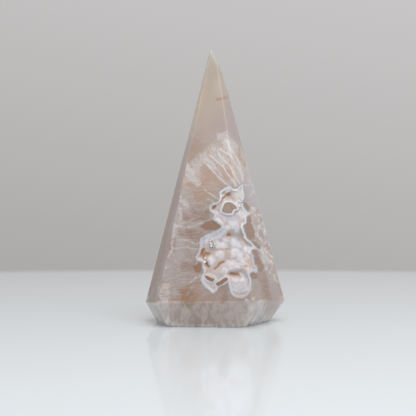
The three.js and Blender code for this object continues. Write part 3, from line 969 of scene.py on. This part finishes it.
# Valleys between the lumps and deeper holes in them, as (line, half width), and how deep they
# are. Their colour is part rusty stain and part painted shade.
VALLEYS = [
    ([(3.4, 44.0), (5.3, 45.5)], 1.3), ([(3.4, 43.7), (1.5, 42.0), (-0.7, 40.1)], 1.3),
    ([(-1.2, 40.1), (-0.2, 40.2)], 1.0), ([(-3.9, 23.8), (-3.6, 25.8)], 1.3),
    ([(-3.5, 23.8), (-1.9, 24.8)], 1.3), ([(3.7, 30.8), (5.2, 31.1)], 1.3),
    ([(-0.2, 26.1), (4.9, 26.0)], 0.73), ([(4.5, 25.8), (4.2, 23.1)], 1.08),
    ([(-0.2, 19.8), (1.1, 21.1), (3.8, 23.0)], 1.0), ([(-3.2, 22.1), (-2.5, 20.1)], 1.0),
    ([(4.5, 17.9), (8.1, 17.4)], 1.0), ([(8.5, 18.9), (10.2, 20.7), (12.3, 20.9)], 0.63),
    ([(10.2, 23.8), (10.9, 22.2)], 1.17), ([(-1.5, 13.7), (-0.2, 13.2)], 0.73),
    ([(5.9, 32.5), (4.2, 31.8)], 0.73), ([(9.2, 29.5), (10.3, 27.8)], 0.9),
]
VALLEY_DEPTH = 0.14
HOLES = [
    ([(3.9, 44.6), (4.7, 45.1)], 1.0), ([(-1.3, 40.1), (-0.4, 40.3)], 0.6),
    ([(-4.0, 23.6), (-3.6, 25.0)], 0.8), ([(5.4, 18.1), (7.4, 18.0)], 1.0),
    ([(-0.2, 19.9), (1.0, 20.9), (2.6, 22.1)], 0.6), ([(4.0, 31.0), (4.9, 31.3)], 0.7),
    ([(-3.1, 21.7), (-2.6, 20.5)], 0.6), ([(-4.4, 26.0), (-4.5, 24.3)], 1.0),
    ([(-3.9, 24.4), (-2.6, 24.7)], 1.1), ([(-0.6, 40.7), (1.2, 42.3), (3.2, 44.1)], 0.5),
]
HOLE_DEPTH = 0.25
# Thin veils of lilac grey chalcedony over the lining, as (line, half width).
VEILS = [
    ([(-1.2, 15.3), (0.6, 17.2), (2.4, 18.8)], 1.1), ([(1.5, 37.6), (4.5, 37.0), (7.2, 36.4)], 1.9),
    ([(-4.0, 30.2), (-5.2, 27.5)], 1.3), ([(-3.5, 15.5), (-1.5, 13.0)], 1.6),
]
# Where quartz grains sugar the lining, and where they stand up as points, as (x, z, radius), and over
# which shares of its radius such a patch ends.
SUGAR = [
    (7.5, 45.0, 2.4), (8.4, 41.6, 2.0), (9.6, 38.9, 1.8), (-0.8, 28.3, 1.5), (10.6, 20.6, 1.5),
]
NESTS = [
    (-0.9, 29.1, 0.95), (-0.9, 27.7, 0.95), (-3.5, 22.9, 0.7), (8.3, 42.2, 0.8), (8.6, 40.9, 0.7),
]
PATCH_EDGE = (0.6, 1.1)
# How far apart the grains of the sugar and of the whole lining are, how far they stand up, and how
# far from its peak a grain ends, as a share of that distance.
SUGAR_APART = 0.55
SUGAR_HEIGHT = 0.35
GRAINS_APART = 0.9
GRAIN_HEIGHT = 0.05
GRAIN_END = 0.75
# The layers of noise that the rim's width and the grains are read from.
WIDTH_LAYER = 3
GRAIN_LAYER = 0


def edge_distance(x, z):
    """Distance from (x, z) to the nearest edge of the lining."""
    loops = [[*loop, loop[0]] for loop in (rim_loop, *island_loops)]
    return np.minimum.reduce([line_distance(x, z, loop) for loop in loops])


def lump_height(x, z):
    """Soft lumps that run into each other: their height, and 1 on them, 0 between them."""
    x, z = wandering(x, z, *LUMP_SWIRLS)
    height = np.zeros(np.shape(x))
    share = np.zeros(np.shape(x))
    for lx, lz, radius, high in LUMPS:
        swell = np.exp(-((x - lx) ** 2 + (z - lz) ** 2) / radius**2)
        height = np.maximum(height, high * swell) + LUMP_MERGE * np.minimum(height, high * swell)
        share = np.maximum(share, swell)
    return LUMP_SHARE * height, smoothstep(*LUMP_EDGE, share)


def patch_share(x, z, patches):
    """1 in the patches, 0 outside them."""
    share = np.zeros(np.shape(x))
    for px, pz, radius in patches:
        share = np.maximum(share, 1 - smoothstep(*PATCH_EDGE, np.hypot(x - px, z - pz) / radius))
    return share


def grain_peaks(x, z, apart):
    """Grains as peaks of a cell pattern: 1 at each peak, 0 between them."""
    gaps = [noise.voronoi(at)[0][0] for at in noise_places(x, z, GRAIN_LAYER, apart)]
    return 1 - np.clip(np.array(gaps).reshape(np.shape(x)) / GRAIN_END, 0, 1)


def rim_width(x, z):
    """The rim's width near (x, z), which varies along it."""
    wave = [noise.noise(at) for at in noise_places(x, z, WIDTH_LAYER, RIM_WAVE)]
    share = np.clip(0.5 + RIM_VARIETY * np.array(wave).reshape(np.shape(x)), 0, 1)
    return RIM_WIDTH[0] + (RIM_WIDTH[1] - RIM_WIDTH[0]) * share


def face_depth(x, z):
    """How far the lining's face lies below the polish at (x, z)."""
    width = rim_width(x, z)
    inside = smoothstep(width, width + RIM_FALL, edge_distance(x, z))
    strayed = wandering(x, z, *STAIN_SWIRLS)
    groove = VALLEY_DEPTH * line_share(*strayed, VALLEYS) + HOLE_DEPTH * line_share(*strayed, HOLES)
    sugar = patch_share(x, z, SUGAR) * grain_peaks(x, z, SUGAR_APART)
    grain = grain_peaks(x, z, GRAINS_APART)
    depth = FACE_SHARE * chamber_depth(x, z) - lump_height(x, z)[0] - GRAIN_HEIGHT * grain
    return FLUSH + inside * np.maximum(depth + groove - SUGAR_HEIGHT * sugar, LEAST_DEPTH)


def grown(loop, distance):
    """The loop moved outwards by a distance."""
    along = np.roll(loop, -1, axis=0) - np.roll(loop, 1, axis=0)
    along /= np.linalg.norm(along, axis=1)[:, None]
    area = np.sum(loop[:, 0] * np.roll(loop[:, 1], -1) - loop[:, 1] * np.roll(loop[:, 0], -1))
    out = np.stack([along[:, 1], -along[:, 0]], axis=1) * math.copysign(1, area)
    return loop + out * distance


# Points of quartz grow on the lining's face: so far in from its rim, and less than so far past the
# floor of the hollow, since the lining's back lies further in.
NEST_INSET = 0.3
NEST_DEPTH = 1.6
# The rim's colour fades from this share of its width to this far past it.
RIM_FADE = (0.7, 0.3)


def lining_mesh():
    """The crust: its face in front, the hollow's bed behind, cut to the rim and the islands."""
    face = relief_block(
        "lining", FACE_STEP, lambda x, z: polish(x, z) + face_depth(x, z), FACE_BACK
    )
    bed = relief_block(
        "bed", BED_STEP,
        lambda x, z: polish(x, z) + chamber_depth(x, z) + LINING_THICKNESS - BED_GAP,
        WELL_IN_FRONT,
    )
    mesh = combined(face, bed, "INTERSECT")
    mesh = combined(mesh, column("rim", grown(rim_loop, OVERLAP)), "INTERSECT")
    for loop in island_loops:
        mesh = combined(mesh, column("island", grown(loop, -OVERLAP)), "DIFFERENCE")
    return mesh


def mark_lining(mesh):
    """Stores at each vertex the share of each colour, and where points of quartz grow."""
    x, y, z = places_of(mesh)
    edge = edge_distance(x, z)
    depth = y - polish(x, z)
    width = rim_width(x, z)
    strayed = wandering(x, z, *STAIN_SWIRLS)
    on_face = (edge > width + NEST_INSET) & (depth < chamber_depth(x, z) + NEST_DEPTH)
    store_marks(mesh, {
        "rim": 1 - smoothstep(width * RIM_FADE[0], width + RIM_FADE[1], edge),
        "lump": lump_height(x, z)[1], "valley": line_share(*strayed, VALLEYS),
        "hole": line_share(*strayed, HOLES), "veil": line_share(*strayed, VEILS),
        "sugar": patch_share(x, z, SUGAR), "nest": patch_share(x, z, NESTS) * on_face,
    })


# The lowest lump has swirls: where they turn about, radians of them per mm, how far a cloud bends
# them, and how far from their middle they end.
SWIRL_KNOT = (6.6, -17.5, 16.8)
SWIRLS = 4.5
SWIRL_BEND = 3.0
SWIRL_END = (7.5, 5.5)

# The rim is whitest at its top and right: a direction, and how far along it that starts and is full.
RIM_LEAN = (1, 0, 0.8)
WHITE_FROM, WHITE_AT = 32, 36
# The lining fades to the colour of the foot between these heights.
FADE_FROM, FADE_AT = 13.2, 10.4
# Clouds and grains in the lining, per mm, and how deep light scatters in it.
LUMP_CLOUDS = 0.5
LINING_GRAINS = 2.2
LINING_DEPTH = 1.5

RIM_LILAC = linear("bdb8c0")
RIM_BRIGHT = linear("e6e7ee")
LUMP_WHITE = linear("d7d6dc")
LUMP_CREAM = linear("c8c0be")
# Painted shade: the floor between the lumps, the valleys and the holes are coloured darker for their
# shade as well as for their stain.
FLOOR_AND_VALLEY_SHADE = linear("b9aeaa")
VALLEY_STAIN_AND_SHADE = linear("c2aca0")
HOLE_STAIN_AND_SHADE = linear("9d7659")
VEIL_GREY = linear("bdb8bc")
SUGAR_WHITE = linear("cbc4be")
FOOT_FADE = linear("b8aeab")


def white_chalcedony():
    """Chalcedony lining: fine fibrous quartz with a waxy natural skin, white on its lumps, with
    painted shade on the floor, valleys and holes between them.
    """
    material, tree = new_material("white chalcedony")
    here = in_mm(tree)
    height = add(tree, "ShaderNodeSeparateXYZ", {0: here}).outputs["Z"]
    marks = stored_marks(tree, ("rim", "lump", "valley", "hole", "veil", "sugar"))
    cloud, grain = [
        add(
            tree, "ShaderNodeTexNoise", {"Vector": here, "Scale": scale, "Detail": detail}
        ).outputs["Fac"]
        for scale, detail in ((LUMP_CLOUDS, 2.0), (LINING_GRAINS, 3.0))
    ]
    along = add(
        tree, "ShaderNodeVectorMath", {0: here, 1: RIM_LEAN}, operation="DOT_PRODUCT"
    ).outputs["Value"]
    rim = layered(
        tree, RIM_WHITE,
        [
            (shade_of(tree, grain, 0.45, 0.65, 0.8), RIM_LILAC),
            (shade_of(tree, along, WHITE_FROM, WHITE_AT, 0.8), RIM_BRIGHT),
        ],
    )
    lumps = layered(tree, LUMP_WHITE, [(shade_of(tree, cloud, 0.46, 0.66, 0.75), LUMP_CREAM)])

    # Fine swirls in the lowest, largest lump.
    from_knot = add(
        tree, "ShaderNodeVectorMath", {0: here, 1: SWIRL_KNOT}, operation="DISTANCE"
    ).outputs["Value"]
    in_bulb = shade_of(tree, from_knot, *SWIRL_END)
    turns = add(
        tree, "ShaderNodeMath", {0: cloud, 1: SWIRL_BEND, 2: from_knot}, operation="MULTIPLY_ADD"
    ).outputs[0]
    turns = add(tree, "ShaderNodeMath", {0: turns, 1: SWIRLS}, operation="MULTIPLY").outputs[0]
    swirl = add(tree, "ShaderNodeMath", {0: turns}, operation="SINE").outputs[0]
    # The floor between the lumps, the valleys and the holes carry painted shade as well as stain.
    colour = layered(
        tree, FLOOR_AND_VALLEY_SHADE,
        [
            (marks["lump"], lumps),
            (both(tree, in_bulb, 0.45), VEIL_GREY),
            (both(tree, in_bulb, shade_of(tree, swirl, -0.2, 0.9, 0.45)), FLOOR_AND_VALLEY_SHADE),
            (both(tree, marks["veil"], 0.8), VEIL_GREY),
            (both(tree, marks["sugar"], shade_of(tree, grain, 0.4, 0.55)), SUGAR_WHITE),
            (both(tree, marks["valley"], shade_of(tree, grain, 0.2, 0.5, 0.75)), VALLEY_STAIN_AND_SHADE),
            (both(tree, marks["hole"], 0.95), HOLE_STAIN_AND_SHADE),
            (marks["rim"], rim),
            (shade_of(tree, height, FADE_FROM, FADE_AT, 0.85), FOOT_FADE),
        ],
    )
    shader = add(
        tree, "ShaderNodeBsdfPrincipled",
        {
            "Base Color": colour, "Roughness": 0.6, "IOR": QUARTZ_IOR, "Subsurface Weight": 0.9,
            "Subsurface Scale": LINING_DEPTH * MM, "Subsurface Radius": (1.0, 0.95, 0.9),
        },
    )
    add(tree, "ShaderNodeOutputMaterial", {"Surface": shader.outputs[0]})
    return material


def quartz(name, colour, transmission):
    """Druse quartz: flat-faced points that sparkle, some clear and some milky."""
    material, tree = new_material(name)
    shader = add(
        tree, "ShaderNodeBsdfPrincipled",
        {
            "Base Color": linear(colour), "Roughness": 0.05, "IOR": QUARTZ_IOR,
            "Transmission Weight": transmission,
        },
    )
    add(tree, "ShaderNodeOutputMaterial", {"Surface": shader.outputs[0]})
    return material


# The points of a nest: their sides, the most of them to a square metre, how far they lean over and
# turn, in radians, how small and large they are next to the width and length given, and how wide a
# seam within one is closed.
POINT_SIDES = 6
MOST_POINTS = 9.0e6
LEAN = 0.55
SPIN = 6.28
SMALLEST, LARGEST = 0.55, 1.25
SEAM = 0.001


def quartz_nest_tree():
    """Scatters six-sided quartz points over the faces marked as nests and joins them to the lining."""
    tree = bpy.data.node_groups.new("quartz nests", "GeometryNodeTree")
    sockets = tree.interface
    sockets.new_socket("Lining", in_out="INPUT", socket_type="NodeSocketGeometry")
    for name in ("Spacing", "Width", "Length"):
        sockets.new_socket(name, in_out="INPUT", socket_type="NodeSocketFloat")
    sockets.new_socket("Seed", in_out="INPUT", socket_type="NodeSocketInt")
    sockets.new_socket("Quartz", in_out="INPUT", socket_type="NodeSocketMaterial")
    sockets.new_socket("Lining", in_out="OUTPUT", socket_type="NodeSocketGeometry")
    given = add(tree, "NodeGroupInput").outputs
    nest = add(tree, "GeometryNodeInputNamedAttribute", {"Name": "nest"}, data_type="FLOAT")
    grown_from = add(
        tree, "GeometryNodeDistributePointsOnFaces",
        {
            "Mesh": given["Lining"], "Distance Min": given["Spacing"], "Density Max": MOST_POINTS,
            "Density Factor": nest.outputs["Attribute"], "Seed": given["Seed"],
        },
        distribute_method="POISSON",
    )
    half = add(tree, "ShaderNodeMath", {0: given["Width"], 1: 0.5}, operation="MULTIPLY").outputs[0]
    prism = add(
        tree, "GeometryNodeMeshCone",
        {
            "Vertices": POINT_SIDES, "Radius Top": half, "Radius Bottom": half,
            "Depth": given["Length"],
        },
        fill_type="NGON",
    )
    point = add(
        tree, "GeometryNodeMeshCone",
        {
            "Vertices": POINT_SIDES, "Radius Top": 0.0, "Radius Bottom": half,
            "Depth": given["Width"],
        },
        fill_type="NONE",
    )
    top = add(tree, "ShaderNodeCombineXYZ", {"Z": given["Length"]}).outputs[0]
    raised = add(
        tree, "GeometryNodeTransform", {"Geometry": point.outputs["Mesh"], "Translation": top}
    )
    crystal = add(tree, "GeometryNodeJoinGeometry")
    tree.links.new(prism.outputs["Mesh"], crystal.inputs[0])
    tree.links.new(raised.outputs[0], crystal.inputs[0])
    welded = add(
        tree, "GeometryNodeMergeByDistance", {"Geometry": crystal.outputs[0], "Distance": SEAM * MM}
    )
    leaning = add(
        tree, "FunctionNodeRandomValue",
        {"Min": (-LEAN, -LEAN, 0.0), "Max": (LEAN, LEAN, SPIN), "Seed": given["Seed"]},
        data_type="FLOAT_VECTOR",
    )
    turn = add(
        tree, "FunctionNodeRotateRotation",
        {"Rotation": grown_from.outputs["Rotation"], "Rotate By": leaning.outputs["Value"]},
        rotation_space="LOCAL",
    )
    size = add(
        tree, "FunctionNodeRandomValue",
        {"Min": SMALLEST, "Max": LARGEST, "Seed": given["Seed"]}, data_type="FLOAT",
    )
    planted = add(
        tree, "GeometryNodeInstanceOnPoints",
        {
            "Points": grown_from.outputs["Points"], "Instance": welded.outputs[0],
            "Rotation": turn.outputs[0], "Scale": size.outputs["Value"],
        },
    )
    real = add(tree, "GeometryNodeRealizeInstances", {"Geometry": planted.outputs[0]})
    glassy = add(
        tree, "GeometryNodeSetMaterial", {"Geometry": real.outputs[0], "Material": given["Quartz"]}
    )
    together = add(tree, "GeometryNodeJoinGeometry")
    tree.links.new(given["Lining"], together.inputs[0])
    tree.links.new(glassy.outputs[0], together.inputs[0])
    add(tree, "NodeGroupOutput", {"Lining": together.outputs[0]})
    return tree


# The width and length of a quartz point, and for the clear and the milky ones their name, colour,
# share of clear light, distance apart and seed.
POINT_WIDTH = 0.5
POINT_LENGTH = 0.4
GROWTHS = [
    ("clear quartz points", "f4f1ee", 0.9, 1.0, 4),
    ("milky quartz points", "f2efec", 0.05, 0.42, 11),
]
# The lining is smooth, but for edges sharper than this.
SHARP_FROM = math.radians(40)


def with_quartz_points(mesh):
    """The lining with its crystals grown on, clear ones and then milky ones, as one plain mesh."""
    nests = quartz_nest_tree()
    work = object_from("work", mesh)
    for name, colour, clear_share, spacing, seed in GROWTHS:
        sizes = {
            "Spacing": spacing * MM, "Width": POINT_WIDTH * MM, "Length": POINT_LENGTH * MM,
            "Seed": seed, "Quartz": quartz(name, colour, clear_share),
        }
        growth = work.modifiers.new("quartz", "NODES")
        growth.node_group = nests
        for item in nests.interface.items_tree:
            if item.item_type == "SOCKET" and item.in_out == "INPUT" and item.name in sizes:
                growth[item.identifier] = sizes[item.name]
    seen = work.evaluated_get(bpy.context.evaluated_depsgraph_get())
    result = bpy.data.meshes.new_from_object(seen)
    bpy.data.objects.remove(work)
    return result


bare_lining = lining_mesh()
bare_lining.materials.clear()
bare_lining.materials.append(white_chalcedony())
bare_lining.shade_smooth()
bare_lining.set_sharp_from_angle(angle=SHARP_FROM)
mark_lining(bare_lining)
lining = object_from("druzy_lining", with_quartz_points(bare_lining))
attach(lining, "root")
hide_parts("druzy_crust")

# ---------------------------------------------------------------------------------------------------
# The stage: a glossy white table that fades out behind the stone into a pale grey studio, lit by one
# large soft lamp above and in front.
# ---------------------------------------------------------------------------------------------------

# The table is a disc that turns see-through over TABLE_FADE at its edge.
TABLE_CENTRE = (0, -342, 0)
TABLE_RADIUS = 617
TABLE_SIDES = 256
TABLE_FADE = 45
# Acrylic bends light a little less than glass.
ACRYLIC_IOR = 1.47


def white_table():
    """Glossy white acrylic sheet: an even white body under a mirror-smooth skin."""
    material, tree = new_material("white acrylic table")
    place = add(tree, "ShaderNodeTexCoord").outputs["Object"]
    centre = Vector(TABLE_CENTRE) * MM
    away = add(
        tree, "ShaderNodeVectorMath", {0: place, 1: centre}, operation="DISTANCE"
    ).outputs["Value"]
    fade = shade_of(tree, away, (TABLE_RADIUS - TABLE_FADE) * MM, TABLE_RADIUS * MM)
    acrylic = add(
        tree, "ShaderNodeBsdfPrincipled",
        {"Base Color": linear("d3dbe0"), "Roughness": 0.1, "IOR": ACRYLIC_IOR},
    )
    gone = add(tree, "ShaderNodeBsdfTransparent")
    seen = add(
        tree, "ShaderNodeMixShader", {0: fade, 1: acrylic.outputs[0], 2: gone.outputs[0]}
    )
    add(tree, "ShaderNodeOutputMaterial", {"Surface": seen.outputs[0]})
    return material


def table_mesh():
    """The disc of the table, level with the foot of the stone."""
    disc = bmesh.new()
    bmesh.ops.create_circle(disc, cap_ends=True, radius=TABLE_RADIUS * MM, segments=TABLE_SIDES)
    bmesh.ops.translate(disc, verts=disc.verts[:], vec=Vector(TABLE_CENTRE) * MM)
    mesh = bpy.data.meshes.new("table")
    disc.to_mesh(mesh)
    return mesh


table = object_from("table", table_mesh())
table.data.materials.append(white_table())

# The softbox: its place, its side, its power in watts, and the place that it faces.
SOFTBOX_PLACE = (75, -220, 500)
SOFTBOX_SIDE = 400
SOFTBOX_POWER = 2.6
SOFTBOX_AIM = (0, 0, 45)


def overhead_softbox():
    """A square studio softbox, nearly white."""
    data = bpy.data.lights.new("overhead_softbox", "AREA")
    data.shape = "SQUARE"
    data.size = SOFTBOX_SIDE * MM
    data.energy = SOFTBOX_POWER
    data.color = linear("fffcfa")[:3]
    lamp = object_from("overhead_softbox", data)
    lamp.location = Vector(SOFTBOX_PLACE) * MM
    aim = Vector(SOFTBOX_AIM) * MM - lamp.location
    lamp.rotation_euler = aim.to_track_quat("-Z", "Y").to_euler()
    lamp.visible_camera = False


overhead_softbox()

# The paper grows lighter upwards, between these slopes of the view, and PAPER_LEAN as fast to the
# right.
PAPER_FADE = (-0.1, 0.28)
PAPER_LEAN = 0.2


def studio_world():
    """Pale grey studio paper, darker near the table and at the left."""
    world = bpy.data.worlds.new("studio")
    bpy.context.scene.world = world
    world.use_nodes = True
    tree = world.node_tree
    tree.nodes.clear()
    direction = add(tree, "ShaderNodeTexCoord").outputs["Generated"]
    towards = add(tree, "ShaderNodeSeparateXYZ", {0: direction}).outputs
    up_right = add(
        tree, "ShaderNodeMath", {0: towards["X"], 1: PAPER_LEAN, 2: towards["Z"]},
        operation="MULTIPLY_ADD",
    ).outputs[0]
    height = add(
        tree, "ShaderNodeMapRange",
        {"Value": up_right, "From Min": PAPER_FADE[0], "From Max": PAPER_FADE[1]},
    ).outputs[0]
    paper = layered(tree, linear("adabaa"), [(height, linear("c8c6c6"))])
    sky = add(tree, "ShaderNodeBackground", {"Color": paper, "Strength": 1.0})
    add(tree, "ShaderNodeOutputWorld", {"Surface": sky.outputs[0]})


studio_world()

# The camera looks level along y, from in front of the stone.
CAMERA_PLACE = (-2.54, -305.5, 40.25)
LENS = 74.68
SENSOR_WIDTH = 36

camera_data = bpy.data.cameras.new("camera")
camera_data.lens = LENS
camera_data.sensor_width = SENSOR_WIDTH
camera = object_from("camera", camera_data)
camera.location = Vector(CAMERA_PLACE) * MM
camera.rotation_euler = (math.radians(90), 0, 0)
bpy.context.scene.camera = camera
bpy.context.scene.view_settings.view_transform = "Standard"
